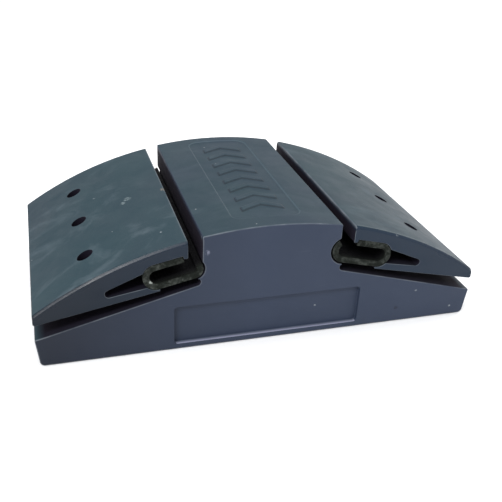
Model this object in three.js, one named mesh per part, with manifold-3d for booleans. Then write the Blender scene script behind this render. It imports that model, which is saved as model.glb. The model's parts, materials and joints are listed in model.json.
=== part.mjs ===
// Module of a rubber speed bump with two sprung ramp wings.
//
// A solid rubber block stands on the road. A wing lies over each flank of the block, with a
// wedge-shaped gap under it. Each wing is carried by a C-section spring channel: the wing grips
// the U-bend of the channel, and the curled inner edge of the channel sits in a round pocket of
// the block. A wheel presses the wing down about that curl until the gap closes.
//
// Units are millimetres. X runs across the bump, Y along the bump and Z up.
// The origin is the centre of the bottom face.

import * as THREE from "three";
import { mergeVertices } from "three/addons/utils/BufferGeometryUtils.js";
import Module from "manifold-3d";

// ---- driving dimensions -------------------------------------------------------------------

const bumpWidth = 300;
const moduleLength = 167;
const crownHeight = 84;
const crownRadius = 260;

const slotInnerX = 46; // wall of the centre block
const slotWidth = 9.2; // gap between the centre block and a wing's lip
const baseEndHeight = 19.2; // height of the block's outer end face
const baseEndDraft = 2.2; // the end face leans in by this much at the bottom
const baseFootRadius = 3;
const baseBevelRun = 5.7;
const wedgeFloorAngle = 14.87; // degrees, slope of the block's flank under a wing
const wedgeEndRadius = 2.5;

const channelAxis = { x: 49.5, z: 60.6 }; // inner end of the line midway between the two legs
const channelAngle = -12.5; // degrees, slope of the channel from its curl to its U-bend
const channelSpan = 25.7; // from the inner end of the axis to the centre of the U-bend
const channelRadius = 8.8; // outside radius of the U-bend
const channelThickness = 4.2;
const upperLegStart = 7.2; // the upper leg starts this far along the axis

// The curled inner edge of each channel, about which that channel turns in the block's pocket.
// The left edge is curled tighter than the right one. Angles are in degrees.
const curls = {
  left: { x: 51.8, z: 57.73, radius: 6.5, endAngle: 150, pocketRadius: 7.5, cuspAngle: 246 },
  right: { x: 49.5, z: 60.6, radius: 8.8, endAngle: 122, pocketRadius: 9.8, cuspAngle: 263 },
};
const wedgeFootX = 48.8; // where the flank under a wing meets the rounded end of the gap
const fitGap = 0.3; // between the wing's rubber and the channel that it grips

const wingBottomSlope = 0.2;
const wingBottomAtGrip = 45; // height of the wing's underside where it starts
const wingTipChamfer = 0.9;
const lipTabBottom = 66;
const voidEnd = { x: 103.9, z: 46.7, radius: 2.6 };
const voidLowerAngle = -49; // degrees on the U-bend, where the void opens onto the channel
const voidUpperAngle = 21;
const wingSettle = { left: 0, right: 0.7 }; // degrees that each wing's tip has sunk at rest

const wingEndChamfer = 2.4;
const blockEndChamfer = 1;

const recess = { halfWidth: 64, bottom: 4.5, top: 32, depth: 3.6, corner: 2.5 };
const panel = { halfWidth: 23.3, length: 145, centreY: 2.8, corner: 8, depth: 1 };
const chevron = { count: 8, pitch: 15.5, barWidth: 5.5, halfSpan: 14, rise: 7 };

const holeX = 115;
const holePitch = 50;
const holesPerWing = 3;
const holeRadius = 5;

const bushGap = 0.3;
const bushOuterRadius = 7.7;
const bushInnerRadius = 5.2;
const bushFlangeRadius = 11.7;
const bushFlangeThickness = 2;
const bushSeatHeight = 23;
const bushFoot = 0.5; // the bush stops this far above the road

const halfWidth = bumpWidth / 2;
const halfLength = moduleLength / 2;
const lipX = slotInnerX + slotWidth;
const aboveCrown = crownHeight + 10;
const overrun = 5; // cutting tools run past the faces that they cut

// ---- small geometry helpers ---------------------------------------------------------------

const rad = THREE.MathUtils.degToRad;

/** Point at a distance and an angle in degrees from a centre, in the XZ section. */
function polar(centre, radius, degrees) {
  return {
    x: centre.x + radius * Math.cos(rad(degrees)),
    z: centre.z + radius * Math.sin(rad(degrees)),
  };
}

/** Points along an arc, both ends included, about one every stepDegrees. */
function arc(centre, radius, fromDegrees, toDegrees, stepDegrees = 12) {
  const steps = Math.max(1, Math.ceil(Math.abs(toDegrees - fromDegrees) / stepDegrees));
  const points = [];
  for (let i = 0; i <= steps; i += 1) {
    points.push(polar(centre, radius, fromDegrees + ((toDegrees - fromDegrees) * i) / steps));
  }
  return points;
}

/** Solid with the given XZ section, from y = low to y = high. side = -1 mirrors it in x. */
function extrudeAlongY(outline, low, high, side = 1) {
  const shape = new THREE.Shape(outline.map((p) => new THREE.Vector2(side * p.x, p.z)));
  const geometry = new THREE.ExtrudeGeometry(shape, { depth: high - low, bevelEnabled: false });
  geometry.rotateX(Math.PI / 2);
  geometry.translate(0, high, 0);
  return geometry;
}

/** Outline of a rectangle with rounded corners, as a Shape. */
function roundedRectangle(x0, y0, x1, y1, r) {
  const shape = new THREE.Shape();
  shape.moveTo(x0 + r, y0);
  shape.lineTo(x1 - r, y0);
  shape.absarc(x1 - r, y0 + r, r, -Math.PI / 2, 0, false);
  shape.lineTo(x1, y1 - r);
  shape.absarc(x1 - r, y1 - r, r, 0, Math.PI / 2, false);
  shape.lineTo(x0 + r, y1);
  shape.absarc(x0 + r, y1 - r, r, Math.PI / 2, Math.PI, false);
  shape.lineTo(x0, y0 + r);
  shape.absarc(x0 + r, y0 + r, r, Math.PI, 1.5 * Math.PI, false);
  return shape;
}

/** Upright cylinder between two heights. */
function uprightCylinder(x, y, radius, low, high, sides = 28) {
  const geometry = new THREE.CylinderGeometry(radius, radius, high - low, sides);
  geometry.rotateX(Math.PI / 2);
  geometry.translate(x, y, (low + high) / 2);
  return geometry;
}

/**
 * Drum about the axis of the crown's arc. Its rim is the road surface of the bump, and its two
 * edges carry the chamfer of the module's ends.
 */
function crownDrum(radius, chamfer) {
  const profile = [
    new THREE.Vector2(0, -halfLength),
    new THREE.Vector2(radius - chamfer, -halfLength),
    new THREE.Vector2(radius, -halfLength + chamfer),
    new THREE.Vector2(radius, halfLength - chamfer),
    new THREE.Vector2(radius - chamfer, halfLength),
    new THREE.Vector2(0, halfLength),
  ];
  const geometry = new THREE.LatheGeometry(profile, 200);
  geometry.translate(0, 0, crownHeight - crownRadius);
  return geometry;
}

// ---- booleans -----------------------------------------------------------------------------

const wasm = await Module();
wasm.setup();

/** Closed three.js geometry as a manifold solid. */
function solid(geometry) {
  const bare = geometry.clone();
  bare.deleteAttribute("normal");
  bare.deleteAttribute("uv");
  const merged = mergeVertices(bare, 1e-4);
  return new wasm.Manifold(
    new wasm.Mesh({
      numProp: 3,
      vertProperties: new Float32Array(merged.attributes.position.array),
      triVerts: new Uint32Array(merged.index.array),
    }),
  );
}

/** Manifold solid as a three.js geometry. */
function geometryOf(body) {
  const mesh = body.getMesh();
  const geometry = new THREE.BufferGeometry();
  geometry.setAttribute("position", new THREE.BufferAttribute(mesh.vertProperties, 3));
  geometry.setIndex(new THREE.BufferAttribute(mesh.triVerts, 1));
  geometry.computeVertexNormals();
  return geometry;
}

// ---- sections -----------------------------------------------------------------------------

/** Height of the block's sloping flank under a wing. */
function wedgeFloor(x) {
  const outerTop = baseEndHeight + baseBevelRun * Math.tan(rad(wedgeFloorAngle));
  return outerTop + (halfWidth - baseBevelRun - x) * Math.tan(rad(wedgeFloorAngle));
}

/** Centre of the rounded inner end of the wedge gap, tangent to the flank. */
function wedgeEndCentre() {
  return {
    x: wedgeFootX + wedgeEndRadius * Math.sin(rad(wedgeFloorAngle)),
    z: wedgeFloor(wedgeFootX) + wedgeEndRadius * Math.cos(rad(wedgeFloorAngle)),
  };
}

/** Half of the block's section around one curl, drawn on the right, from the bottom up. */
function blockHalfSection(curl) {
  const end = wedgeEndCentre();
  const flankTouch = 270 - wedgeFloorAngle;
  const wallRun = (curl.x - slotInnerX) / curl.pocketRadius;
  const wallAngle = 180 - THREE.MathUtils.radToDeg(Math.acos(wallRun));
  const cornerX = halfWidth - baseEndDraft;
  return [
    ...arc({ x: cornerX - baseFootRadius, z: baseFootRadius }, baseFootRadius, -90, 0, 18),
    { x: halfWidth, z: baseEndHeight - 0.6 },
    { x: halfWidth - 0.6, z: baseEndHeight },
    { x: halfWidth - baseBevelRun, z: wedgeFloor(halfWidth - baseBevelRun) },
    ...arc(end, wedgeEndRadius, flankTouch, 116, 18),
    ...arc(curl, curl.pocketRadius, curl.cuspAngle, wallAngle, 9),
    { x: slotInnerX, z: aboveCrown },
  ];
}

/** Whole section of the block. */
function blockSection() {
  const right = blockHalfSection(curls.right);
  const left = blockHalfSection(curls.left).map((p) => ({ x: -p.x, z: p.z }));
  return [...right, ...left.reverse()];
}

/** Section of a channel: a curl, two legs and a U-bend of constant thickness. */
function channelSection(curl) {
  const uBend = polar(channelAxis, channelSpan, channelAngle);
  const inside = channelRadius - channelThickness;
  const down = channelAngle - 90;
  const up = channelAngle + 90;
  const legStart = polar(channelAxis, upperLegStart, channelAngle);
  return [
    ...arc(curl, curl.radius, curl.endAngle, 360 + down, 10),
    ...arc(uBend, channelRadius, down, up, 10),
    polar(legStart, channelRadius, up),
    polar(legStart, inside, up),
    ...arc(uBend, inside, up, down, 15),
    ...arc(curl, curl.radius - channelThickness, 360 + down, curl.endAngle, 15),
  ];
}

/** Turns a piece carried by a wing about that side's curl, down to where the wing rests. */
function settled(geometry, label, side) {
  const curl = curls[label];
  geometry.translate(-side * curl.x, 0, -curl.z);
  geometry.rotateY(side * rad(wingSettle[label]));
  geometry.translate(side * curl.x, 0, curl.z);
  return geometry;
}

/** Section of the right-hand wing. */
function wingSection() {
  const uBend = polar(channelAxis, channelSpan, channelAngle);
  const grip = channelRadius + fitGap;
  const down = channelAngle - 90;
  const up = channelAngle + 90;
  const legStart = polar(channelAxis, upperLegStart - fitGap, channelAngle);
  const gripEnd = polar(uBend, grip, down);
  const tipBottom = wingBottomAtGrip - wingBottomSlope * (halfWidth - gripEnd.x);
  const tabTop = polar(legStart, grip, up);
  return [
    { x: lipX, z: lipTabBottom },
    { x: tabTop.x - 0.5, z: lipTabBottom },
    tabTop,
    ...arc(uBend, grip, up, voidUpperAngle, 10),
    ...arc(voidEnd, voidEnd.radius, 67, -102, 24),
    ...arc(uBend, grip, voidLowerAngle, down, 10),
    { x: gripEnd.x, z: wingBottomAtGrip },
    { x: halfWidth - wingTipChamfer, z: tipBottom + wingBottomSlope * wingTipChamfer },
    { x: halfWidth, z: tipBottom + wingTipChamfer },
    { x: halfWidth, z: aboveCrown },
    { x: lipX, z: aboveCrown },
  ];
}

// ---- pieces -------------------------------------------------------------------------------

/** Positions of the fixing holes along one wing. */
function holePositions() {
  const first = (-(holesPerWing - 1) / 2) * holePitch;
  return Array.from({ length: holesPerWing }, (_, i) => first + i * holePitch);
}

/** Shallow pocket moulded into an end face of the block. outward is -1 or 1 along Y. */
function endRecess(outward) {
  const shape = roundedRectangle(
    -recess.halfWidth, recess.bottom, recess.halfWidth, recess.top, recess.corner,
  );
  const depth = recess.depth + overrun;
  const geometry = new THREE.ExtrudeGeometry(shape, { depth, bevelEnabled: false, curveSegments: 4 });
  geometry.rotateX(Math.PI / 2);
  const high = outward > 0 ? halfLength + overrun : -halfLength + recess.depth;
  geometry.translate(0, high, 0);
  return solid(geometry);
}

/** Raised chevron of the crown panel, as an upright prism. */
function chevronPrism(centreY) {
  const { barWidth, halfSpan, rise } = chevron;
  const shape = new THREE.Shape([
    new THREE.Vector2(-halfSpan, centreY - rise / 2),
    new THREE.Vector2(0, centreY + rise / 2),
    new THREE.Vector2(halfSpan, centreY - rise / 2),
    new THREE.Vector2(halfSpan, centreY - rise / 2 + barWidth),
    new THREE.Vector2(0, centreY + rise / 2 + barWidth),
    new THREE.Vector2(-halfSpan, centreY - rise / 2 + barWidth),
  ]);
  const geometry = new THREE.ExtrudeGeometry(shape, { depth: aboveCrown, bevelEnabled: false });
  return solid(geometry);
}

/** Shallow panel sunk in the crown, with plain chevrons left standing in it. */
function crownPanelCut() {
  const half = panel.length / 2;
  const shape = roundedRectangle(
    -panel.halfWidth, panel.centreY - half, panel.halfWidth, panel.centreY + half, panel.corner,
  );
  const geometry = new THREE.ExtrudeGeometry(
    shape, { depth: aboveCrown, bevelEnabled: false, curveSegments: 6 },
  );
  let cut = solid(geometry);
  for (let i = 0; i < chevron.count; i += 1) {
    const offset = (i - (chevron.count - 1) / 2) * chevron.pitch;
    cut = cut.subtract(chevronPrism(panel.centreY + offset - chevron.barWidth / 2));
  }
  return cut.subtract(solid(crownDrum(crownRadius - panel.depth, 0)));
}

function makeBaseBlock() {
  let body = solid(extrudeAlongY(blockSection(), -halfLength, halfLength));
  body = body.intersect(solid(crownDrum(crownRadius, blockEndChamfer)));
  body = body.subtract(crownPanelCut());
  body = body.subtract(endRecess(-1)).subtract(endRecess(1));
  for (const side of [-1, 1]) {
    for (const y of holePositions()) {
      const shaft = uprightCylinder(side * holeX, y, bushOuterRadius + bushGap, -overrun, 40);
      const seat = uprightCylinder(
        side * holeX, y, bushFlangeRadius + bushGap, bushSeatHeight, 40, 36,
      );
      body = body.subtract(solid(shaft)).subtract(solid(seat));
    }
  }
  return geometryOf(body);
}

function makeWing(label, side) {
  let body = solid(extrudeAlongY(wingSection(), -halfLength, halfLength, side));
  body = body.intersect(solid(crownDrum(crownRadius, wingEndChamfer)));
  for (const y of holePositions()) {
    body = body.subtract(solid(uprightCylinder(side * holeX, y, holeRadius, 0, aboveCrown)));
  }
  return settled(geometryOf(body), label, side);
}

function makeChannel(label, side) {
  const geometry = extrudeAlongY(channelSection(curls[label]), -halfLength, halfLength, side);
  return settled(geometry, label, side);
}

/** Flanged steel bush that lines a fixing hole of the block. */
function makeBush(x, y) {
  const flangeBottom = bushSeatHeight + bushGap;
  const flangeTop = flangeBottom + bushFlangeThickness;
  const profile = [
    [bushInnerRadius, bushFoot],
    [bushOuterRadius, bushFoot],
    [bushOuterRadius, flangeBottom],
    [bushFlangeRadius, flangeBottom],
    [bushFlangeRadius, flangeTop],
    [bushInnerRadius, flangeTop],
    [bushInnerRadius, bushFoot],
  ].map(([r, z]) => new THREE.Vector2(r, z));
  const geometry = new THREE.LatheGeometry(profile, 28);
  geometry.rotateX(Math.PI / 2);
  geometry.translate(x, y, 0);
  return geometry;
}

// ---- materials ----------------------------------------------------------------------------

const blockRubber = new THREE.MeshStandardMaterial({ color: 0x3d4650, roughness: 0.62, metalness: 0 });
const wingRubber = new THREE.MeshStandardMaterial({ color: 0x46535c, roughness: 0.6, metalness: 0 });
const springStrip = new THREE.MeshStandardMaterial({ color: 0x3a3b30, roughness: 0.8, metalness: 0.1 });
const zincSteel = new THREE.MeshStandardMaterial({ color: 0x9a9c9e, roughness: 0.4, metalness: 0.9 });

// ---- assembly -----------------------------------------------------------------------------

const bump = new THREE.Group();

function addPiece(name, geometry, material, parent = bump) {
  const mesh = new THREE.Mesh(geometry, material);
  mesh.name = name;
  parent.add(mesh);
}

addPiece("base_block", makeBaseBlock(), blockRubber);

for (const [label, side] of [["left", -1], ["right", 1]]) {
  addPiece(`${label}_ramp_wing`, makeWing(label, side), wingRubber);
  addPiece(`${label}_spring_channel`, makeChannel(label, side), springStrip);
  holePositions().forEach((y, i) => {
    addPiece(`${label}_anchor_bush_${i + 1}`, makeBush(side * holeX, y), zincSteel);
  });
}

export default bump;
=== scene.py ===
"""Looks of a rubber speed bump module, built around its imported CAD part.

The sections are drawn in millimetres in the XZ plane, lofted along Y and turned into metres.
Each piece replaces the CAD node of the same shape and rides on that node's body.
"""

import json
import math

import bmesh
import bpy
import numpy as np
from mathutils import Matrix, Vector, noise
from mathutils.geometry import tessellate_polygon


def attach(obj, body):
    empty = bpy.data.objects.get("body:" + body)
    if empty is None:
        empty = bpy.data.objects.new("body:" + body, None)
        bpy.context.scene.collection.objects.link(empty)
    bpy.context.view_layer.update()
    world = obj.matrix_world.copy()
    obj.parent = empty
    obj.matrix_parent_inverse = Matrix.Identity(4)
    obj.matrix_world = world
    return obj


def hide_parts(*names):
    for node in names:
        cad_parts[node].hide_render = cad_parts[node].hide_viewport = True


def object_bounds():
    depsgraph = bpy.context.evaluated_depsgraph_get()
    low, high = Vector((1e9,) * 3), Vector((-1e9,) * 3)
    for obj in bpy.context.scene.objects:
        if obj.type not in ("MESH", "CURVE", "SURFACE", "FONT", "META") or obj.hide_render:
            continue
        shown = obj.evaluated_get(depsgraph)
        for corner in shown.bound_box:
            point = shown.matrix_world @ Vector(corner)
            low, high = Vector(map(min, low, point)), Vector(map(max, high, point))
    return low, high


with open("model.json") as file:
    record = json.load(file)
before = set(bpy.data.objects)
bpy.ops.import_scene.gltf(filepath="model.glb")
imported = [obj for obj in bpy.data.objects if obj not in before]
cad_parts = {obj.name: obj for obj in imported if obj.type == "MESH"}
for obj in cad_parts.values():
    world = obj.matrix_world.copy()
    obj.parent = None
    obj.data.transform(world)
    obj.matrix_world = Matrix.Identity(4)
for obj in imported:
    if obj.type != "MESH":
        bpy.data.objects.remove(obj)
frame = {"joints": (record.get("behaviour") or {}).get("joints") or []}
CAD_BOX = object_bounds()

MM = 0.001

# ---- dimensions, from the frame where it holds them ----------------------------------------

HIGH = np.array(CAD_BOX[1]) / MM
HALF_WIDTH = HIGH[0]
HALF_LENGTH = HIGH[1]
CROWN_HEIGHT = HIGH[2]
JOINTS = {joint["child"]: joint for joint in frame["joints"]}

CROWN_RADIUS = 260.0
SLOT_INNER_X = 46.0
LIP_X = 55.2
BASE_END_HEIGHT = 19.2
BASE_END_DRAFT = 2.2
FLANK_ANGLE = 14.87
WEDGE_END_RADIUS = 2.5
WEDGE_FOOT_X = 48.8

CHANNEL_AXIS = np.array((49.5, 60.6))
CHANNEL_ANGLE = -12.5
CHANNEL_SPAN = 25.7
CHANNEL_RADIUS = 8.8
CHANNEL_THICKNESS = 4.2
UPPER_LEG_START = 7.2
BURR_SPOT = np.array((78.2, 51.9))  # pale curl of swarf left on the left channel's U-bend
BURR_REACH = 1.2
GRIP_GAP = 0.3
END_SHRINK = 0.96  # a sawn end's thickness, as a share of the strip's

WING_BOTTOM_SLOPE = 0.2
WING_BOTTOM_AT_GRIP = 45.0
LIP_TAB_BOTTOM = 66.0
VOID_END = np.array((103.9, 46.7))
VOID_END_RADIUS = 2.6
VOID_LOWER_ANGLE = -49.0
VOID_UPPER_ANGLE = 21.0
SETTLE = {-1: 0.0, 1: 0.7}  # degrees that each wing has sunk at rest
WING_CHAMFER = 1.9

RECESS_HALF_WIDTH = 64.0
RECESS_BOTTOM = 3.9
RECESS_TOP = 32.0
RECESS_DEPTH = 2.9
PANEL_HALF_WIDTH = 23.3
PANEL_HALF_LENGTH = 72.5
PANEL_CENTRE_Y = 2.8
PANEL_CORNER = 8.0
PANEL_DEPTH = 0.9
CHEVRON_COUNT = 8
CHEVRON_PITCH = 15.5
CHEVRON_BAR = 5.5
CHEVRON_HALF_SPAN = 14.0
CHEVRON_RISE = 7.0

HOLE_X = 115.0
HOLE_YS = (-50.0, 0.0, 50.0)
HOLE_RADIUS = 5.0
BUSH_OUTER = 7.7
BUSH_INNER = 5.2
BUSH_FLANGE = 11.7
BUSH_FLANGE_THICKNESS = 2.0
BUSH_SEAT = 23.0
BUSH_GAP = 0.3
BUSH_FOOT = 0.5

# ---- sections ------------------------------------------------------------------------------


class Curl:
    """Curled inner edge of one channel, about which that side's wing turns. Drawn on the right."""

    def __init__(self, body, radius, end_angle, pocket_radius, cusp_angle):
        pivot = np.array(JOINTS[body]["pos_m"]) / MM
        self.centre = np.array((abs(pivot[0]), pivot[2]))
        self.radius = radius
        self.end_angle = end_angle
        self.pocket_radius = pocket_radius
        self.cusp_angle = cusp_angle


CURLS = {
    -1: Curl("left_wing", 6.5, 150.0, 7.5, 246.0),
    1: Curl("right_wing", 8.8, 122.0, 9.8, 262.0),
}


def polar(centre, radius, degrees):
    """Point at an angle round a centre."""
    turn = math.radians(degrees)
    return np.array(centre) + radius * np.array((math.cos(turn), math.sin(turn)))


def crown(x):
    """Height of the crown's arc."""
    return math.sqrt(CROWN_RADIUS**2 - x * x) - (CROWN_RADIUS - CROWN_HEIGHT)


def flank(x):
    """Height of the block's flank under a wing."""
    return BASE_END_HEIGHT + (HALF_WIDTH - x) * math.tan(math.radians(FLANK_ANGLE))


def arc(centre, radius, start, stop, step):
    """Points of an arc, both ends included."""
    count = max(1, math.ceil(abs(stop - start) / step))
    return [polar(centre, radius, start + (stop - start) * i / count) for i in range(count + 1)]


def corner(before, at, after, radius, count=4):
    """Points that round the corner at one point of an outline."""
    before, at, after = map(np.array, (before, at, after))
    u = (before - at) / np.linalg.norm(before - at)
    v = (after - at) / np.linalg.norm(after - at)
    half = math.acos(max(-1.0, min(1.0, float(u @ v)))) / 2
    reach = radius / math.tan(half)
    middle = (u + v) / np.linalg.norm(u + v)
    centre = at + middle * radius / math.sin(half)
    first, last = at + u * reach - centre, at + v * reach - centre
    start = math.degrees(math.atan2(first[1], first[0]))
    sweep = math.degrees(math.atan2(last[1], last[0])) - start
    sweep = (sweep + 180) % 360 - 180
    return [polar(centre, radius, start + sweep * i / count) for i in range(count + 1)]


def line(start, stop, step):
    """Points between two points, neither end included."""
    start, stop = np.array(start, float), np.array(stop, float)
    count = max(1, round(np.linalg.norm(stop - start) / step))
    return [start + (stop - start) * i / count for i in range(1, count)]


def crown_arc(x_from, x_to, step):
    """Points along the crown from one x to another, both included."""
    count = max(1, round(abs(x_to - x_from) / step))
    xs = [x_from + (x_to - x_from) * i / count for i in range(count + 1)]
    return [np.array((x, crown(x))) for x in xs]


def joined(*stretches):
    """One closed outline from stretches of points, without repeats."""
    points = []
    for stretch in stretches:
        for point in stretch:
            if not points or np.linalg.norm(point - points[-1]) > 0.02:
                points.append(np.array(point, float))
    if np.linalg.norm(points[0] - points[-1]) < 0.02:
        points.pop()
    return points


def block_half(side):
    """Half of the block's outline on one side, drawn on the right, from the bottom up."""
    curl = CURLS[side]
    foot = (HALF_WIDTH - BASE_END_DRAFT, 0.0)
    brow = (HALF_WIDTH, BASE_END_HEIGHT)
    turn = math.radians(FLANK_ANGLE)
    slot_end = np.array((WEDGE_FOOT_X, flank(WEDGE_FOOT_X)))
    slot_end = slot_end + WEDGE_END_RADIUS * np.array((math.sin(turn), math.cos(turn)))
    wall_run = (curl.centre[0] - SLOT_INNER_X) / curl.pocket_radius
    wall_angle = 180 - math.degrees(math.acos(wall_run))
    wall_foot = polar(curl.centre, curl.pocket_radius, wall_angle)
    brim = (SLOT_INNER_X, crown(SLOT_INNER_X))
    rounded_foot = corner((0, 0), foot, brow, 3.0, 6)
    rounded_brow = corner(foot, brow, (100, flank(100)), 1.2, 5)
    slot_arc = arc(slot_end, WEDGE_END_RADIUS, 270 - FLANK_ANGLE, 118, 10)
    rounded_brim = corner(wall_foot, brim, (42, crown(42)), 0.9, 5)
    return joined(
        line((0, 0), rounded_foot[0], 6.0),
        rounded_foot,
        line(rounded_foot[-1], rounded_brow[0], 3.0),
        rounded_brow,
        line(rounded_brow[-1], slot_arc[0], 3.0),
        slot_arc,
        arc(curl.centre, curl.pocket_radius, curl.cusp_angle, wall_angle, 5),
        line(wall_foot, rounded_brim[0], 1.5),
        rounded_brim,
        crown_arc(rounded_brim[-1][0], PANEL_HALF_WIDTH + 3, 2.0)[1:],
        crown_arc(PANEL_HALF_WIDTH + 3, 0, 0.5),
    )


def block_outline():
    """Whole outline of the block, counter-clockwise."""
    left = [np.array((-p[0], p[1])) for p in reversed(block_half(-1)) if p[0] > 0.01]
    return [np.array((0.0, 0.0))] + block_half(1) + left


def wing_outline():
    """Outline of the right wing, counter-clockwise, and which of its points are on top."""
    u_bend = polar(CHANNEL_AXIS, CHANNEL_SPAN, CHANNEL_ANGLE)
    grip = CHANNEL_RADIUS + GRIP_GAP
    down, up = CHANNEL_ANGLE - 90, CHANNEL_ANGLE + 90
    leg = polar(CHANNEL_AXIS, UPPER_LEG_START - GRIP_GAP, CHANNEL_ANGLE)
    tab_top = polar(leg, grip, up)
    grip_end = polar(u_bend, grip, down)
    heel = (grip_end[0], WING_BOTTOM_AT_GRIP)
    toe = (HALF_WIDTH, WING_BOTTOM_AT_GRIP - WING_BOTTOM_SLOPE * (HALF_WIDTH - grip_end[0]))
    tip = (HALF_WIDTH, crown(HALF_WIDTH))
    lip_top = (LIP_X, crown(LIP_X))
    lip_foot = (LIP_X, LIP_TAB_BOTTOM)
    tab_foot = (tab_top[0] - 0.5, LIP_TAB_BOTTOM)
    rounded_toe = corner(heel, toe, tip, 1.3, 5)
    rounded_tip = corner(toe, tip, (HALF_WIDTH - 6, crown(HALF_WIDTH - 6)), 1.2, 5)
    rounded_lip = corner((LIP_X + 6, crown(LIP_X + 6)), lip_top, lip_foot, 1.0, 5)
    rounded_foot = corner(lip_top, lip_foot, tab_foot, 0.6, 4)
    rounded_tab = corner(lip_foot, tab_foot, tab_top, 0.5, 3)
    rounded_heel = corner(grip_end, heel, toe, 0.5, 3)
    bottom = joined(
        rounded_foot,
        line(rounded_foot[-1], rounded_tab[0], 0.6),
        rounded_tab,
        [tab_top],
        arc(u_bend, grip, up, VOID_UPPER_ANGLE, 6),
        line(polar(u_bend, grip, VOID_UPPER_ANGLE), polar(VOID_END, VOID_END_RADIUS, 67), 2.0),
        arc(VOID_END, VOID_END_RADIUS, 67, -102, 12),
        line(polar(VOID_END, VOID_END_RADIUS, -102), polar(u_bend, grip, VOID_LOWER_ANGLE), 2.0),
        arc(u_bend, grip, VOID_LOWER_ANGLE, down, 6),
        rounded_heel,
        line(rounded_heel[-1], rounded_toe[0], 2.5),
        rounded_toe,
    )
    top = joined(
        rounded_tip,
        crown_arc(rounded_tip[-1][0], rounded_lip[0][0], 1.6)[1:],
        rounded_lip[1:],
    )
    rest = joined(line(rounded_lip[-1], rounded_foot[0], 1.5))
    on_top = [False] * len(bottom) + [True] * len(top) + [False] * len(rest)
    return bottom + top + rest, on_top


def channel_strip(side):
    """Middle line of a channel and its unit normals, from curl to upper leg."""
    curl = CURLS[side]
    u_bend = polar(CHANNEL_AXIS, CHANNEL_SPAN, CHANNEL_ANGLE)
    half = CHANNEL_THICKNESS / 2
    middle = CHANNEL_RADIUS - half
    down, up = CHANNEL_ANGLE - 90, CHANNEL_ANGLE + 90
    leg = polar(CHANNEL_AXIS, UPPER_LEG_START, CHANNEL_ANGLE)
    points, normals = [], []

    def add(point, angle):
        points.append(point)
        normals.append(polar((0, 0), 1.0, angle))

    for i in range(19):
        angle = curl.end_angle + (360 + down - curl.end_angle) * i / 18
        add(polar(curl.centre, curl.radius - half, angle), angle)
    start = polar(curl.centre, curl.radius - half, down)
    stop = polar(u_bend, middle, down)
    for i in range(1, 20):
        add(start + (stop - start) * i / 20, down)
    for i in range(25):
        angle = down + 180 * i / 24
        add(polar(u_bend, middle, angle), angle)
    for i in range(1, 16):
        add(polar(u_bend + (leg - u_bend) * i / 15, middle, up), up)
    return np.array(points), np.array(normals)


# ---- meshes --------------------------------------------------------------------------------


def outline_normals(points):
    """Outward unit normals of a counter-clockwise outline."""
    points = np.array(points)
    along = np.roll(points, -1, axis=0) - np.roll(points, 1, axis=0)
    normals = np.stack((along[:, 1], -along[:, 0]), axis=1)
    return normals / np.linalg.norm(normals, axis=1, keepdims=True)


def room_inside(points):
    """Distance from each point of an outline to the nearest point that is not its neighbour."""
    count = len(points)
    gaps = np.linalg.norm(points[:, None] - points[None], axis=2)
    apart = np.abs(np.arange(count)[:, None] - np.arange(count)[None])
    gaps[np.minimum(apart, count - apart) <= 3] = np.inf
    return gaps.min(axis=1)


ROUND_STEPS = ((0.0, 1.0), (0.134, 0.5), (0.5, 0.134), (1.0, 0.0))  # share in y, share of inset
CHAMFER_STEPS = ((0.0, 1.0), (0.1, 0.8), (0.8, 0.1), (1.0, 0.0))


def loft(outline, ys, edge_radius, on_top=None, chamfer=0.0):
    """Rings of a section along Y with rounded ends. on_top points are chamfered there instead."""
    outline = np.array(outline)
    normals = outline_normals(outline)
    reach = np.minimum(edge_radius, 0.42 * room_inside(outline))
    top = np.zeros(len(outline), bool) if on_top is None else np.array(on_top)
    start, stop = ys[0], ys[-1]
    rings = []

    def end_ring(step, end, inward):
        ring = np.empty((len(outline), 3))
        share_y, share_in = ROUND_STEPS[step]
        inset = reach * share_in
        ring[:, 0] = outline[:, 0] - inset * normals[:, 0]
        ring[:, 2] = outline[:, 1] - inset * normals[:, 1]
        ring[:, 1] = end + inward * edge_radius * share_y
        share_y, share_in = CHAMFER_STEPS[step]
        ring[top, 2] = outline[top, 1] - chamfer * share_in
        ring[top, 1] = end + inward * chamfer * share_y
        return ring

    for step in range(4):
        rings.append(end_ring(step, start, 1))
    for y in ys[1:-1]:
        ring = np.column_stack((outline[:, 0], np.full(len(outline), y), outline[:, 1]))
        near = min(y - start, stop - y)
        if near < chamfer:
            ring[top, 1] = start + chamfer if y - start < chamfer else stop - chamfer
        rings.append(ring)
    for step in reversed(range(4)):
        rings.append(end_ring(step, stop, -1))
    return np.array(rings)


def loft_mesh(name, rings):
    """Closed mesh from rings of points in millimetres, with flat caps."""
    count, around = rings.shape[:2]
    points = rings.reshape(-1, 3)
    faces = []
    for i in range(count - 1):
        a, b = i * around, (i + 1) * around
        for j in range(around):
            k = (j + 1) % around
            faces.append((a + j, a + k, b + k, b + j))
    for ring in (0, count - 1):
        flat = [Vector((p[0], p[2], 0)) for p in rings[ring]]
        faces += [tuple(ring * around + v for v in tri) for tri in tessellate_polygon([flat])]
    mesh = bpy.data.meshes.new(name)
    mesh.from_pydata([tuple(p * MM) for p in points], [], faces)
    return face_outwards(mesh)


def face_outwards(mesh):
    """Turns every face outwards."""
    bm = bmesh.new()
    bm.from_mesh(mesh)
    bmesh.ops.recalc_face_normals(bm, faces=bm.faces)
    bm.to_mesh(mesh)
    bm.free()
    mesh.update()
    return mesh


def add_object(name, mesh):
    """Scene object for a mesh."""
    piece = bpy.data.objects.new(name, mesh)
    bpy.context.scene.collection.objects.link(piece)
    return piece


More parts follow.
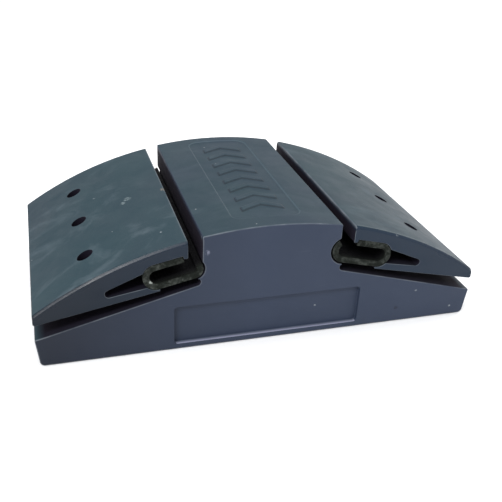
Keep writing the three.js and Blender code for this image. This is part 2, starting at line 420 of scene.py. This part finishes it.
def lathe_mesh(name, profile, x, y, sides=64):
    """Ring-shaped mesh from a closed profile of (radius, height), about an upright axis."""
    points, faces = [], []
    for i in range(sides):
        turn = 2 * math.pi * i / sides
        for radius, height in profile:
            points.append((x + radius * math.cos(turn), y + radius * math.sin(turn), height))
    count = len(profile)
    for i in range(sides):
        for j in range(count):
            a, b = i * count + j, i * count + (j + 1) % count
            c, d = (i + 1) % sides * count + (j + 1) % count, (i + 1) % sides * count + j
            faces.append((a, b, c, d))
    mesh = bpy.data.meshes.new(name)
    mesh.from_pydata([tuple(np.array(p) * MM) for p in points], [], faces)
    return face_outwards(mesh)


def post_mesh(name, profile, x, y, sides=48):
    """Closed post from a profile of (radius, height) whose ends are capped."""
    points, faces = [], []
    for radius, height in profile:
        for i in range(sides):
            turn = 2 * math.pi * i / sides
            points.append((x + radius * math.cos(turn), y + radius * math.sin(turn), height))
    for row in range(len(profile) - 1):
        for i in range(sides):
            k = (i + 1) % sides
            a, b = row * sides, (row + 1) * sides
            faces.append((a + i, a + k, b + k, b + i))
    faces.append(tuple(range(sides)))
    faces.append(tuple(range((len(profile) - 1) * sides, len(profile) * sides)))
    mesh = bpy.data.meshes.new(name)
    mesh.from_pydata([tuple(np.array(p) * MM) for p in points], [], faces)
    return face_outwards(mesh)


def cut(piece, cutters):
    """Cuts a set of closed shapes out of a piece."""
    joined_mesh = bpy.data.meshes.new("cutters")
    bm = bmesh.new()
    for cutter in cutters:
        bm.from_mesh(cutter)
        bpy.data.meshes.remove(cutter)
    bm.to_mesh(joined_mesh)
    bm.free()
    tool = add_object("cutters", joined_mesh)
    step = piece.modifiers.new("cut", "BOOLEAN")
    step.operation = "DIFFERENCE"
    step.solver = "MANIFOLD"
    step.object = tool
    bpy.context.view_layer.update()
    evaluated = piece.evaluated_get(bpy.context.evaluated_depsgraph_get())
    result = bpy.data.meshes.new_from_object(evaluated)
    piece.modifiers.clear()
    old = piece.data
    piece.data = result
    bpy.data.meshes.remove(old)
    bpy.data.objects.remove(tool)
    bpy.data.meshes.remove(joined_mesh)


def shade(piece, degrees=38):
    """Smooth shading that keeps real edges, with flat faces kept flat."""
    piece.data.shade_smooth()
    piece.data.set_sharp_from_angle(angle=math.radians(degrees))
    flat = piece.modifiers.new("flat_faces", "WEIGHTED_NORMAL")
    flat.keep_sharp = True
    flat.weight = 60


def settle(points, side):
    """Turns points carried by a wing about its curl to where the wing rests."""
    angle = math.radians(SETTLE[side])
    pivot = CURLS[side].centre
    x, z = points[..., 0] - pivot[0], points[..., 2] - pivot[1]
    turned = points.copy()
    turned[..., 0] = pivot[0] + x * math.cos(angle) + z * math.sin(angle)
    turned[..., 2] = pivot[1] - x * math.sin(angle) + z * math.cos(angle)
    turned[..., 0] *= side
    return turned


def steps_between(start, stop, step):
    """Evenly spaced values, both ends included."""
    return list(np.linspace(start, stop, max(2, round((stop - start) / step) + 1)))


# ---- block ---------------------------------------------------------------------------------


def smooth(value):
    """Smooth ramp from 0 to 1."""
    share = np.clip(value, 0, 1)
    return share * share * (3 - 2 * share)


def share_inside(distance, width):
    """0 outside and 1 inside a shape, with a soft wall of the given width."""
    return smooth(0.5 - distance / width)


def panel_distances(x, y):
    """Distance outside the crown panel's edge and outside the nearest chevron's edge."""
    qx = np.abs(x) - (PANEL_HALF_WIDTH - PANEL_CORNER)
    qy = np.abs(y - PANEL_CENTRE_Y) - (PANEL_HALF_LENGTH - PANEL_CORNER)
    outside = np.hypot(np.maximum(qx, 0), np.maximum(qy, 0)) - PANEL_CORNER
    panel_distance = outside + np.minimum(np.maximum(qx, qy), 0)
    chevron_distance = np.full_like(x, np.inf)
    slope = CHEVRON_RISE / CHEVRON_HALF_SPAN
    for i in range(CHEVRON_COUNT):
        centre = PANEL_CENTRE_Y + (i - (CHEVRON_COUNT - 1) / 2) * CHEVRON_PITCH
        spine = centre + CHEVRON_RISE / 2 - slope * np.abs(x)
        across = (np.abs(y - spine) - CHEVRON_BAR / 2) / math.hypot(1, slope)
        distance = np.maximum(across, np.abs(x) - CHEVRON_HALF_SPAN)
        chevron_distance = np.minimum(chevron_distance, distance)
    return panel_distance, chevron_distance


def panel_relief(x, y):
    """Height of the crown panel: sunk, with plain chevrons left standing."""
    panel_distance, chevron_distance = panel_distances(x, y)
    raised = share_inside(chevron_distance, 1.0)
    return -PANEL_DEPTH * share_inside(panel_distance, 1.2) * (1 - 0.95 * raised)


def recess_cutter(outward):
    """Rounded pocket shape for one end face."""
    x, low, high = RECESS_HALF_WIDTH, RECESS_BOTTOM, RECESS_TOP
    corners = [(-x, low), (x, low), (x, high), (-x, high)]
    outline = []
    for i, at in enumerate(corners):
        outline += corner(corners[i - 1], at, corners[(i + 1) % 4], 2.6, 6)
    face = HALF_LENGTH
    ys = [face - RECESS_DEPTH, face + 3]
    rings = loft(joined(outline), ys, 0.4)
    rings[..., 1] *= outward
    return loft_mesh("recess", rings)


def bush_seat_cutter(side, y):
    """Stepped hole that takes an anchor bush."""
    shaft, seat = BUSH_OUTER + BUSH_GAP, BUSH_FLANGE + BUSH_GAP
    profile = [(shaft, -4), (shaft, BUSH_SEAT), (seat, BUSH_SEAT), (seat, 40)]
    return post_mesh("seat", profile, side * HOLE_X, y)


def mark(piece, values):
    """Stores per-vertex numbers, named, for the piece's material."""
    for name, numbers in values.items():
        layer = piece.data.attributes.new(name, "FLOAT", "POINT")
        layer.data.foreach_set("value", np.asarray(numbers, np.float32))


def vertex_points(piece):
    """Every vertex, in millimetres."""
    points = np.empty(len(piece.data.vertices) * 3, np.float32)
    piece.data.vertices.foreach_get("co", points)
    return points.reshape(-1, 3) / MM


def vertex_table(piece):
    """Distance from the middle plane, distance to the nearer end and height, of every vertex."""
    points = vertex_points(piece)
    return np.abs(points[:, 0]), HALF_LENGTH - np.abs(points[:, 1]), points[:, 2]


def crown_heights(x):
    """Height of the crown's arc for many points."""
    return np.sqrt(CROWN_RADIUS**2 - x * x) - (CROWN_RADIUS - CROWN_HEIGHT)


def shelter(x, depth, z):
    """Share of painted shade at a spot: rising quickly just behind an end, then slowly more with depth.
    """
    below = smooth((crown_heights(x) - z - 0.9) / 2.5) * smooth((149.3 - x) / 6)
    return below * (0.92 * smooth((depth - 0.05) / 0.6) + 0.08 * smooth((depth - 1) / 12))


def mark_block(piece):
    """Painted shade in the block's gaps behind its ends, pale edges that are partly wear and partly
    painted highlight, a painted highlight on the recess ledge, and a painted highlight on the panel's
    rim with painted shadow round the chevrons.
    """
    x, depth, z = vertex_table(piece)
    in_recess = (x < RECESS_HALF_WIDTH + 1) & (z < RECESS_TOP + 1) & (depth < RECESS_DEPTH + 0.5)
    painted_shade = shelter(x, depth, z) * ~((x < SLOT_INNER_X - 7) | (z < 1) | in_recess)
    pale_edge = smooth(1 - np.abs(depth - 0.3) / 0.7) * (depth > 0.02)
    painted_ledge_highlight = (in_recess & (z < RECESS_BOTTOM + 0.5) & (z > 1)) * (1 - 0.8 * smooth(depth / 1.5))
    points = vertex_points(piece)
    panel_distance, chevron_distance = panel_distances(points[:, 0], points[:, 1])
    on_top = crown_heights(x) - z < 2
    painted_rim_highlight = smooth(1 - np.abs(panel_distance + 0.1) / 0.8) * on_top
    painted_chevron_shadow = smooth(1 - np.abs(chevron_distance - 0.3) / 0.8) * on_top
    mark(piece, {
        "painted_shade": painted_shade, "pale_edge": pale_edge, "crest": 0 * x, "painted_ledge_highlight": painted_ledge_highlight, "painted_rim_highlight": painted_rim_highlight, "painted_chevron_shadow": painted_chevron_shadow,
    })


def mark_wing(piece):
    """Painted shade on a wing's lower and inner faces behind its ends, pale edges that are partly wear
    and partly painted highlight, and its chamfered crests.
    """
    x, depth, z = vertex_table(piece)
    fall = crown_heights(x) - z
    painted_shade = shelter(x, depth, z + 0.5) * (fall > 2)
    low_edge = smooth(1 - np.abs(depth - 0.2) / 0.5) * (fall > 3)
    lip_edge = smooth(1 - np.abs(x - LIP_X - 0.4) / 0.9) * (fall < 1.5)
    pale_edge = np.maximum(low_edge, lip_edge) * (depth > 0.02)
    crest = (depth < WING_CHAMFER + 0.1) * (fall < WING_CHAMFER + 1.6)
    mark(piece, {"painted_shade": painted_shade, "pale_edge": pale_edge, "crest": crest, "painted_ledge_highlight": 0 * x})


def make_block():
    outline = block_outline()
    fine_low = PANEL_CENTRE_Y - PANEL_HALF_LENGTH - 2
    fine_high = PANEL_CENTRE_Y + PANEL_HALF_LENGTH + 2
    ys = [-HALF_LENGTH, -HALF_LENGTH + 1.1]
    ys += steps_between(-HALF_LENGTH + 2, fine_low, 2.0)
    ys += steps_between(fine_low, fine_high, 0.5)[1:]
    ys += steps_between(fine_high, HALF_LENGTH - 2, 2.0)[1:]
    ys += [HALF_LENGTH - 1.1, HALF_LENGTH]
    rings = loft(outline, ys, 0.8)
    on_crown = np.abs(rings[..., 0]) < PANEL_HALF_WIDTH + 2.5
    on_crown &= rings[..., 2] > CROWN_HEIGHT - 3
    relief = panel_relief(rings[..., 0], rings[..., 1])
    rings[..., 2] += np.where(on_crown, relief, 0)
    piece = add_object("block_moulding", loft_mesh("block_moulding", rings))
    cutters = [recess_cutter(-1), recess_cutter(1)]
    cutters += [bush_seat_cutter(side, y) for side in (-1, 1) for y in HOLE_YS]
    cut(piece, cutters)
    mark_block(piece)
    shade(piece)
    return piece


def make_wing(side):
    outline, on_top = wing_outline()
    ys = steps_between(-HALF_LENGTH + 3.2, HALF_LENGTH - 3.2, 2.0)
    ys = [-HALF_LENGTH, -HALF_LENGTH + 0.8] + ys + [HALF_LENGTH - 0.8, HALF_LENGTH]
    rings = loft(outline, ys, 0.35, on_top, WING_CHAMFER)
    rings = settle(rings, side)
    name = ("left" if side < 0 else "right") + "_wing_moulding"
    piece = add_object(name, loft_mesh(name, rings))
    cut(piece, [wing_hole_cutter(side, y) for y in HOLE_YS])
    mark_wing(piece)
    shade(piece)
    return piece


def wing_hole_cutter(side, y):
    """Straight hole through a wing."""
    heights = [10] + steps_between(36, 78, 1.5) + [90]
    return post_mesh("hole", [(HOLE_RADIUS, z) for z in heights], side * HOLE_X, y)


def make_channel(side):
    """C-section strip with sawn ends: its end faces are a fine grid with saw marks and a burr."""
    middle, normals = channel_strip(side)
    across = np.linspace(1, -1, 9)
    ys = [-1.0, -0.995] + list(np.linspace(-0.985, 0.985, 70)) + [0.995, 1.0]
    half = HALF_LENGTH - 0.15
    stations = len(middle)
    rows = len(across)

    loop = [(i, 0) for i in range(stations)]
    loop += [(stations - 1, j) for j in range(1, rows)]
    loop += [(i, rows - 1) for i in range(stations - 2, -1, -1)]
    loop += [(0, j) for j in range(rows - 2, 0, -1)]
    points, faces = [], []
    half_thickness = CHANNEL_THICKNESS / 2

    def point_at(i, j, y, shrink):
        reach = half_thickness * across[j] * shrink
        spot = middle[i] + normals[i] * reach
        return (spot[0], y, spot[1])

    def saw(i, j, end):
        spot = middle[i] + normals[i] * half_thickness * across[j]
        coarse = noise.noise(Vector((spot[0] * 0.35, spot[1] * 0.35, end * 7.0)))
        fine = noise.noise(Vector((spot[0] * 2.6 + spot[1] * 1.3, spot[1] * 3.1, end * 3.0)))
        burr = 0.16 if j in (0, rows - 1) else 0.0
        return 0.16 * coarse + 0.1 * fine - burr * (0.5 + fine)

    for y_share in ys:
        at_end = abs(y_share) == 1.0
        for i, j in loop:
            y = y_share * half
            if at_end:
                y -= math.copysign(max(0.0, 0.3 + saw(i, j, y_share)), y_share)
            points.append(point_at(i, j, y, END_SHRINK if at_end else 1.0))
    around = len(loop)
    for r in range(len(ys) - 1):
        for j in range(around):
            k = (j + 1) % around
            a, b = r * around, (r + 1) * around
            faces.append((a + j, a + k, b + k, b + j))
    for end, row in ((-1.0, 0), (1.0, len(ys) - 1)):
        index = {spot: row * around + n for n, spot in enumerate(loop)}
        for i in range(1, stations - 1):
            for j in range(1, rows - 1):
                index[(i, j)] = len(points)
                y = end * half - end * max(0.0, 0.3 + saw(i, j, end))
                points.append(point_at(i, j, y, END_SHRINK))
        for i in range(stations - 1):
            for j in range(rows - 1):
                ring = ((i, j), (i + 1, j), (i + 1, j + 1), (i, j + 1))
                faces.append(tuple(index[spot] for spot in ring))
    points = settle(np.array(points), side)
    name = ("left" if side < 0 else "right") + "_channel_strip"
    mesh = bpy.data.meshes.new(name)
    mesh.from_pydata([tuple(p * MM) for p in points], [], faces)
    piece = add_object(name, face_outwards(mesh))
    x, depth, z = vertex_table(piece)
    torn = np.hypot(x - BURR_SPOT[0], z - BURR_SPOT[1]) < BURR_REACH
    # Painted shade on the strip away from its sawn ends; pale sawn end edges and the swarf spot.
    mark(piece, {
        "painted_shade": smooth((depth - 1.0) / 5),
        "pale_edge": smooth(1 - np.abs(depth - 0.3) / 0.35),
        "burr": torn * (depth < 1.1) * (side < 0),
    })
    shade(piece, 50)
    return piece


def make_bush(side, y, number):
    """Flanged steel bush with broken edges."""
    low, top = BUSH_SEAT + BUSH_GAP, BUSH_SEAT + BUSH_GAP + BUSH_FLANGE_THICKNESS
    soft = 0.35
    profile = [
        (BUSH_INNER, BUSH_FOOT + soft),
        (BUSH_INNER + soft, BUSH_FOOT),
        (BUSH_OUTER - soft, BUSH_FOOT),
        (BUSH_OUTER, BUSH_FOOT + soft),
        (BUSH_OUTER, low),
        (BUSH_FLANGE - soft, low),
        (BUSH_FLANGE, low + soft),
        (BUSH_FLANGE, top - soft),
        (BUSH_FLANGE - soft, top),
        (BUSH_INNER + soft, top),
        (BUSH_INNER, top - soft),
    ]
    name = f"{'left' if side < 0 else 'right'}_bush_{number}"
    piece = add_object(name, lathe_mesh(name, profile, side * HOLE_X, y))
    shade(piece, 30)
    return piece


# ---- materials -----------------------------------------------------------------------------


class Nodes:
    """Small helper that builds a node material."""

    def __init__(self, name):
        self.material = bpy.data.materials.new(name)
        self.material.use_nodes = True
        self.tree = self.material.node_tree
        self.shader = self.tree.nodes["Principled BSDF"]
        coordinates = self.tree.nodes.new("ShaderNodeTexCoord")
        self.position = coordinates.outputs["Object"]
        self.normal = coordinates.outputs["Normal"]

    def link(self, output, socket):
        self.tree.links.new(output, socket)

    def stretched(self, scale):
        node = self.tree.nodes.new("ShaderNodeMapping")
        node.inputs["Scale"].default_value = scale
        self.link(self.position, node.inputs["Vector"])
        return node.outputs["Vector"]

    def noise(self, scale, detail=3.0, rough=0.5, distortion=0.0, vector=None):
        node = self.tree.nodes.new("ShaderNodeTexNoise")
        node.inputs["Scale"].default_value = scale
        node.inputs["Detail"].default_value = detail
        node.inputs["Roughness"].default_value = rough
        node.inputs["Distortion"].default_value = distortion
        self.link(vector or self.position, node.inputs["Vector"])
        return node.outputs["Fac"]

    def cells(self, scale):
        node = self.tree.nodes.new("ShaderNodeTexVoronoi")
        node.inputs["Scale"].default_value = scale
        self.link(self.position, node.inputs["Vector"])
        return node.outputs["Distance"], node.outputs["Color"]

    def band(self, value, low, high, to_low=0.0, to_high=1.0):
        node = self.tree.nodes.new("ShaderNodeMapRange")
        node.inputs["From Min"].default_value = low
        node.inputs["From Max"].default_value = high
        node.inputs["To Min"].default_value = to_low
        node.inputs["To Max"].default_value = to_high
        self.link(value, node.inputs["Value"])
        return node.outputs["Result"]

    def maths(self, kind, a, b):
        node = self.tree.nodes.new("ShaderNodeMath")
        node.operation = kind
        for socket, value in zip(node.inputs, (a, b)):
            if isinstance(value, (int, float)):
                socket.default_value = value
            else:
                self.link(value, socket)
        return node.outputs["Value"]

    def mix(self, share, a, b):
        node = self.tree.nodes.new("ShaderNodeMix")
        node.data_type = "RGBA"
        if isinstance(share, (int, float)):
            node.inputs["Factor"].default_value = share
        else:
            self.link(share, node.inputs["Factor"])
        for socket, value in ((node.inputs[6], a), (node.inputs[7], b)):
            if isinstance(value, tuple):
                socket.default_value = (*value, 1.0)
            else:
                self.link(value, socket)
        return node.outputs[2]

    def split(self, vector):
        node = self.tree.nodes.new("ShaderNodeSeparateXYZ")
        self.link(vector, node.inputs["Vector"])
        return node.outputs

    def bump(self, height, strength, distance, before=None):
        node = self.tree.nodes.new("ShaderNodeBump")
        node.inputs["Strength"].default_value = strength
        node.inputs["Distance"].default_value = distance
        self.link(height, node.inputs["Height"])
        if before is not None:
            self.link(before, node.inputs["Normal"])
        return node.outputs["Normal"]

    def distance(self, spot, vector=None):
        node = self.tree.nodes.new("ShaderNodeVectorMath")
        node.operation = "DISTANCE"
        self.link(vector or self.position, node.inputs[0])
        node.inputs[1].default_value = tuple(np.array(spot) * MM)
        return node.outputs["Value"]

    def stored(self, name):
        node = self.tree.nodes.new("ShaderNodeAttribute")
        node.attribute_name = name
        return node.outputs["Fac"]

    def finish(self, color, roughness, normal):
        self.link(color, self.shader.inputs["Base Color"])
        self.link(roughness, self.shader.inputs["Roughness"])
        self.link(normal, self.shader.inputs["Normal"])
        return self.material


def rubber(name, upward, sideways, smear_amount, spots, bores=()):
    """Moulded rubber: mottled colour, cloudy smears, scuffs, dust specks and fine grain, with painted
    light and shade: top and side faces take separately tuned colours, side faces darken towards the
    left, edges, the recess ledge and the panel's rim get painted highlights, the chevrons painted
    shadow, and gaps painted shade.

    spots are (place, radius, colour) of single scuffs and nicks. bores are the x of each row of holes,
    whose walls get painted shade.
    """
    n = Nodes(name)
    n.shader.inputs["IOR"].default_value = 1.3
    painted_shade = n.stored("painted_shade")
    # Painted light: top and side faces take separately tuned colours, and side faces are painted darker
    # towards the left end.
    facing = n.band(n.split(n.normal)["Z"], 0.68, 0.8)
    painted_left_shade = tuple(c * 0.35 for c in sideways)
    along = n.band(n.split(n.position)["X"], -0.14, 0.0)
    color = n.mix(facing, n.mix(along, painted_left_shade, sideways), upward)
    mottle = n.band(n.noise(11.0, 4.0, 0.55, 0.6), 0.35, 0.68)
    darker = tuple(c * 0.8 for c in sideways)
    color = n.mix(n.maths("MULTIPLY", mottle, 0.45), color, darker)
    cloud = n.noise(1.0, 5.0, 0.6, 1.8, n.stretched((15.0, 26.0, 18.0)))
    cloud = n.band(cloud, 0.52, 0.78)
    smear = n.maths("MULTIPLY", n.maths("MULTIPLY", cloud, facing), smear_amount)
    color = n.mix(smear, color, (0.13, 0.165, 0.19))
    streak = n.band(n.noise(1.0, 6.0, 0.65, 0.4, n.stretched((60.0, 520.0, 300.0))), 0.62, 0.8)
    plain = n.maths("SUBTRACT", 1.0, n.stored("crest"))
    streak = n.maths("MULTIPLY", streak, n.band(n.noise(24.0, 2.0), 0.5, 0.7, 0.0, 0.3))
    streak = n.maths("MULTIPLY", streak, plain)
    color = n.mix(streak, color, (0.12, 0.14, 0.17))
    # Pale edges: partly wear, partly a painted highlight along the rounded edges.
    edge_wear_and_highlight = n.maths("MULTIPLY", n.stored("pale_edge"), n.band(n.noise(70.0, 4.0, 0.6), 0.35, 0.62, 0.15, 0.6))
    color = n.mix(edge_wear_and_highlight, color, (0.17, 0.19, 0.21))
    distance, tint = n.cells(95.0)
    dust = n.maths("GREATER_THAN", n.split(tint)["X"], 0.84)
    speck = n.maths("MULTIPLY", n.maths("LESS_THAN", distance, 0.042), dust)
    color = n.mix(n.maths("MULTIPLY", speck, 0.6), color, (0.42, 0.44, 0.45))
    # Painted highlight on the recess's bottom ledge.
    color = n.mix(n.maths("MULTIPLY", n.stored("painted_ledge_highlight"), facing), color, (0.30, 0.31, 0.42))
    # Painted highlight along the panel's rim and painted shadow round the chevrons.
    color = n.mix(n.maths("MULTIPLY", n.stored("painted_rim_highlight"), 0.35), color, (0.10, 0.14, 0.16))
    color = n.mix(n.maths("MULTIPLY", n.stored("painted_chevron_shadow"), 0.7), color, (0.003, 0.007, 0.011))
    flat = n.stretched((1.0, 1.0, 0.0))
    # Hole walls get painted shade.
    for x in bores:
        for y in HOLE_YS:
            inside = n.maths("LESS_THAN", n.distance((x, y, 0), flat), (HOLE_RADIUS + 0.1) * MM)
            painted_shade = n.maths("MAXIMUM", painted_shade, n.maths("MULTIPLY", inside, 0.9))
    for spot, radius, tint in spots:
        mark_here = n.band(n.distance(spot), radius * 0.4 * MM, radius * MM, 1.0, 0.0)
        rubbed = n.band(n.noise(520.0, 4.0, 0.7), 0.42, 0.6)
        color = n.mix(n.maths("MULTIPLY", mark_here, rubbed), color, tint)
    # Painted shade: gaps, slots and hole walls are turned near black.
    color = n.mix(painted_shade, color, (0.0045, 0.0022, 0.0085))
    rough = n.band(n.noise(40.0, 5.0, 0.6, 0.5), 0.3, 0.7, 0.44, 0.6)
    rough = n.maths("ADD", rough, n.maths("MULTIPLY", smear, 0.25))
    rough = n.maths("ADD", rough, n.maths("MULTIPLY", painted_shade, 0.4))
    rough = n.maths("SUBTRACT", rough, n.maths("MULTIPLY", n.stored("crest"), 0.24))
    slow = n.bump(n.noise(28.0, 2.0), 0.14, 0.004)
    grain = n.bump(n.noise(1500.0, 2.0, 0.7), 0.12, 0.0004, slow)
    return n.finish(color, rough, grain)


def channel_plastic(name):
    """Dark olive extrusion with sawn, scratched ends and a pale burr, and painted shade away from the
    ends.
    """
    n = Nodes(name)
    n.shader.inputs["IOR"].default_value = 1.22
    patches = n.band(n.noise(90.0, 5.0, 0.65), 0.35, 0.7)
    base = n.mix(patches, (0.003, 0.004, 0.003), (0.007, 0.008, 0.007))
    marks = n.noise(1.0, 4.0, 0.7, 0.2, n.stretched((900.0, 60.0, 2600.0)))
    ends = n.maths("ABSOLUTE", n.split(n.position)["Y"], 0.0)
    at_end = n.band(ends, (HALF_LENGTH - 1.2) * MM, (HALF_LENGTH - 0.6) * MM)
    scratched = n.maths("MULTIPLY", at_end, n.band(marks, 0.4, 0.72))
    color = n.mix(scratched, base, (0.009, 0.013, 0.009))
    burr = n.band(n.noise(260.0, 4.0, 0.7), 0.46, 0.66, 0.0, 0.5)
    color = n.mix(n.maths("MULTIPLY", n.stored("pale_edge"), burr), color, (0.10, 0.11, 0.10))
    color = n.mix(n.stored("burr"), color, (0.26, 0.28, 0.26))
    # Painted shade away from the sawn ends.
    color = n.mix(n.maths("MULTIPLY", n.stored("painted_shade"), 0.85), color, (0.002, 0.0018, 0.003))
    rough = n.band(n.noise(300.0, 4.0), 0.3, 0.7, 0.65, 0.88)
    normal = n.bump(marks, 0.6, 0.0006, n.bump(n.noise(420.0, 5.0, 0.7), 0.5, 0.0008))
    return n.finish(color, rough, normal)


def zinc_steel(name):
    """Dull zinc plate with spangle and a few stains."""
    n = Nodes(name)
    n.shader.inputs["Metallic"].default_value = 1.0
    _, tint = n.cells(900.0)
    color = n.mix(n.split(tint)["X"], (0.36, 0.37, 0.39), (0.48, 0.48, 0.49))
    stain = n.band(n.noise(160.0, 5.0, 0.65, 0.5), 0.55, 0.75, 0.0, 0.7)
    color = n.mix(stain, color, (0.16, 0.13, 0.1))
    rough = n.band(n.noise(350.0, 4.0), 0.3, 0.7, 0.32, 0.58)
    return n.finish(color, rough, n.bump(n.noise(700.0, 4.0), 0.25, 0.0003))


def floor_paint(name):
    """Plain pale studio floor."""
    n = Nodes(name)
    shade_of = n.band(n.noise(3.0, 3.0), 0.3, 0.7, 0.0, 1.0)
    color = n.mix(shade_of, (0.88, 0.88, 0.88), (0.9, 0.9, 0.9))
    rough = n.band(n.noise(12.0), 0.3, 0.7, 0.75, 0.85)
    return n.finish(color, rough, n.bump(n.noise(500.0), 0.02, 0.0002))


# ---- assembly ------------------------------------------------------------------------------


def place(piece, body, node, material):
    """Gives a piece its finish and puts it in a CAD node's place."""
    piece.data.materials.clear()
    piece.data.materials.append(material)
    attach(piece, body)
    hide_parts(node)


PALE, TAN, BLACK = (0.26, 0.29, 0.31), (0.30, 0.24, 0.17), (0.005, 0.004, 0.008)
BLOCK_SPOTS = (
    ((-43.0, -83.5, 69.0), 2.2, (0.13, 0.14, 0.19)),
    ((-45.9, -79.0, 77.0), 2.0, PALE),
    ((107.2, -83.5, 23.6), 1.1, PALE),
    ((136.7, -83.5, 6.8), 1.1, PALE),
    ((93.6, -83.5, 11.0), 1.8, BLACK),
    ((23.0, -83.5, 21.0), 0.9, PALE),
    ((33.0, -80.6, 19.0), 1.0, PALE),
)
WING_SPOTS = (
    ((-80.9, 1.0, 71.1), 3.2, (0.16, 0.2, 0.21)),
    ((-84.5, -3.0, 69.9), 2.2, (0.16, 0.2, 0.21)),
    ((-56.0, -1.6, 77.9), 2.6, TAN),
    ((-68.1, -61.8, 74.9), 0.9, PALE),
    ((-102.0, 24.0, 63.2), 1.2, PALE),
    ((86.0, -82.2, 67.5), 1.3, PALE),
)
# Top and side colours of each rubber, tuned apart as painted light and shade.
BLOCK_UP, BLOCK_SIDE = (0.008, 0.025, 0.035), (0.028, 0.039, 0.067)
WING_UP, WING_SIDE = (0.010, 0.030, 0.040), (0.011, 0.021, 0.038)
ROWS = (-HOLE_X, HOLE_X)
BLOCK_RUBBER = rubber("block_rubber", BLOCK_UP, BLOCK_SIDE, 0.12, BLOCK_SPOTS)
WING_RUBBER = rubber("wing_rubber", WING_UP, WING_SIDE, 0.34, WING_SPOTS, ROWS)
CHANNEL = channel_plastic("channel_plastic")
STEEL = zinc_steel("bush_steel")

place(make_block(), "block", "base_block", BLOCK_RUBBER)
for side, label in ((-1, "left"), (1, "right")):
    body = f"{label}_wing"
    place(make_wing(side), body, f"{label}_ramp_wing", WING_RUBBER)
    place(make_channel(side), body, f"{label}_spring_channel", CHANNEL)
    for number, y in enumerate(HOLE_YS, 1):
        node = f"{label}_anchor_bush_{number}"
        place(make_bush(side, y, number), "block", node, STEEL)

# ---- studio --------------------------------------------------------------------------------


def make_floor():
    mesh = bpy.data.meshes.new("floor")
    half = 4.0
    level = -0.0004
    mesh.from_pydata(
        [(-half, -half, level), (half, -half, level), (half, half, level), (-half, half, level)],
        [], [(0, 1, 2, 3)],
    )
    floor = add_object("floor", mesh)
    mesh.materials.append(floor_paint("floor_paint"))


def area_light(name, place_at, look_at, size, power, color=(1, 1, 1)):
    light = bpy.data.lights.new(name, "AREA")
    light.shape = "RECTANGLE"
    light.size, light.size_y = size
    light.energy = power
    light.color = color
    lamp = bpy.data.objects.new(name, light)
    lamp.location = place_at
    aim = Vector(look_at) - Vector(place_at)
    lamp.rotation_euler = aim.to_track_quat("-Z", "Y").to_euler()
    bpy.context.scene.collection.objects.link(lamp)


def make_camera():
    """Camera at the viewing angle of the photograph: yaw, pitch and roll in degrees."""
    yaw, pitch, roll = map(math.radians, (17.60, 27.91, 2.98))
    half_span = HALF_WIDTH * MM
    place_at = Vector((-0.898, -2.511, 1.844)) * half_span - Vector((0, HALF_LENGTH * MM, 0))
    level = math.cos(pitch)
    forward = Vector((math.sin(yaw) * level, math.cos(yaw) * level, -math.sin(pitch)))
    right = Vector((math.cos(yaw), -math.sin(yaw), 0))
    up = right.cross(forward)
    right, up = (
        right * math.cos(roll) + up * math.sin(roll),
        up * math.cos(roll) - right * math.sin(roll),
    )
    camera = bpy.data.cameras.new("camera")
    camera.sensor_width = 36.0
    camera.lens = 714.8 / 502 * camera.sensor_width
    camera.clip_start = 0.01
    view = bpy.data.objects.new("camera", camera)
    turn = Matrix((right, up, -forward)).transposed()
    view.matrix_world = Matrix.Translation(place_at) @ turn.to_4x4()
    bpy.context.scene.collection.objects.link(view)
    bpy.context.scene.camera = view


def make_world():
    world = bpy.data.worlds.new("studio")
    world.use_nodes = True
    background = world.node_tree.nodes["Background"]
    background.inputs["Color"].default_value = (0.97, 0.98, 1.0, 1.0)
    background.inputs["Strength"].default_value = 0.9
    bpy.context.scene.world = world


make_camera()
make_floor()
make_world()
area_light("overhead", (0.1, 0.2, 1.3), (0, 0, 0.03), (1.2, 1.2), 10.0)
area_light("right_back", (1.3, 0.7, 0.7), (0.08, 0, 0.04), (1.0, 0.8), 5.5)
area_light("front_low", (-1.18, -0.74, 0.9), (-0.14, -0.08, 0.06), (0.3, 0.3), 4.0)
area_light("front_left", (-0.82, -0.8, 1.16), (-0.1, -0.08, 0.07), (0.3, 0.3), 9.0)
area_light("front_high", (-0.42, -0.82, 1.32), (-0.07, -0.08, 0.07), (0.3, 0.3), 3.0)
bpy.context.scene.view_settings.view_transform = "Standard"
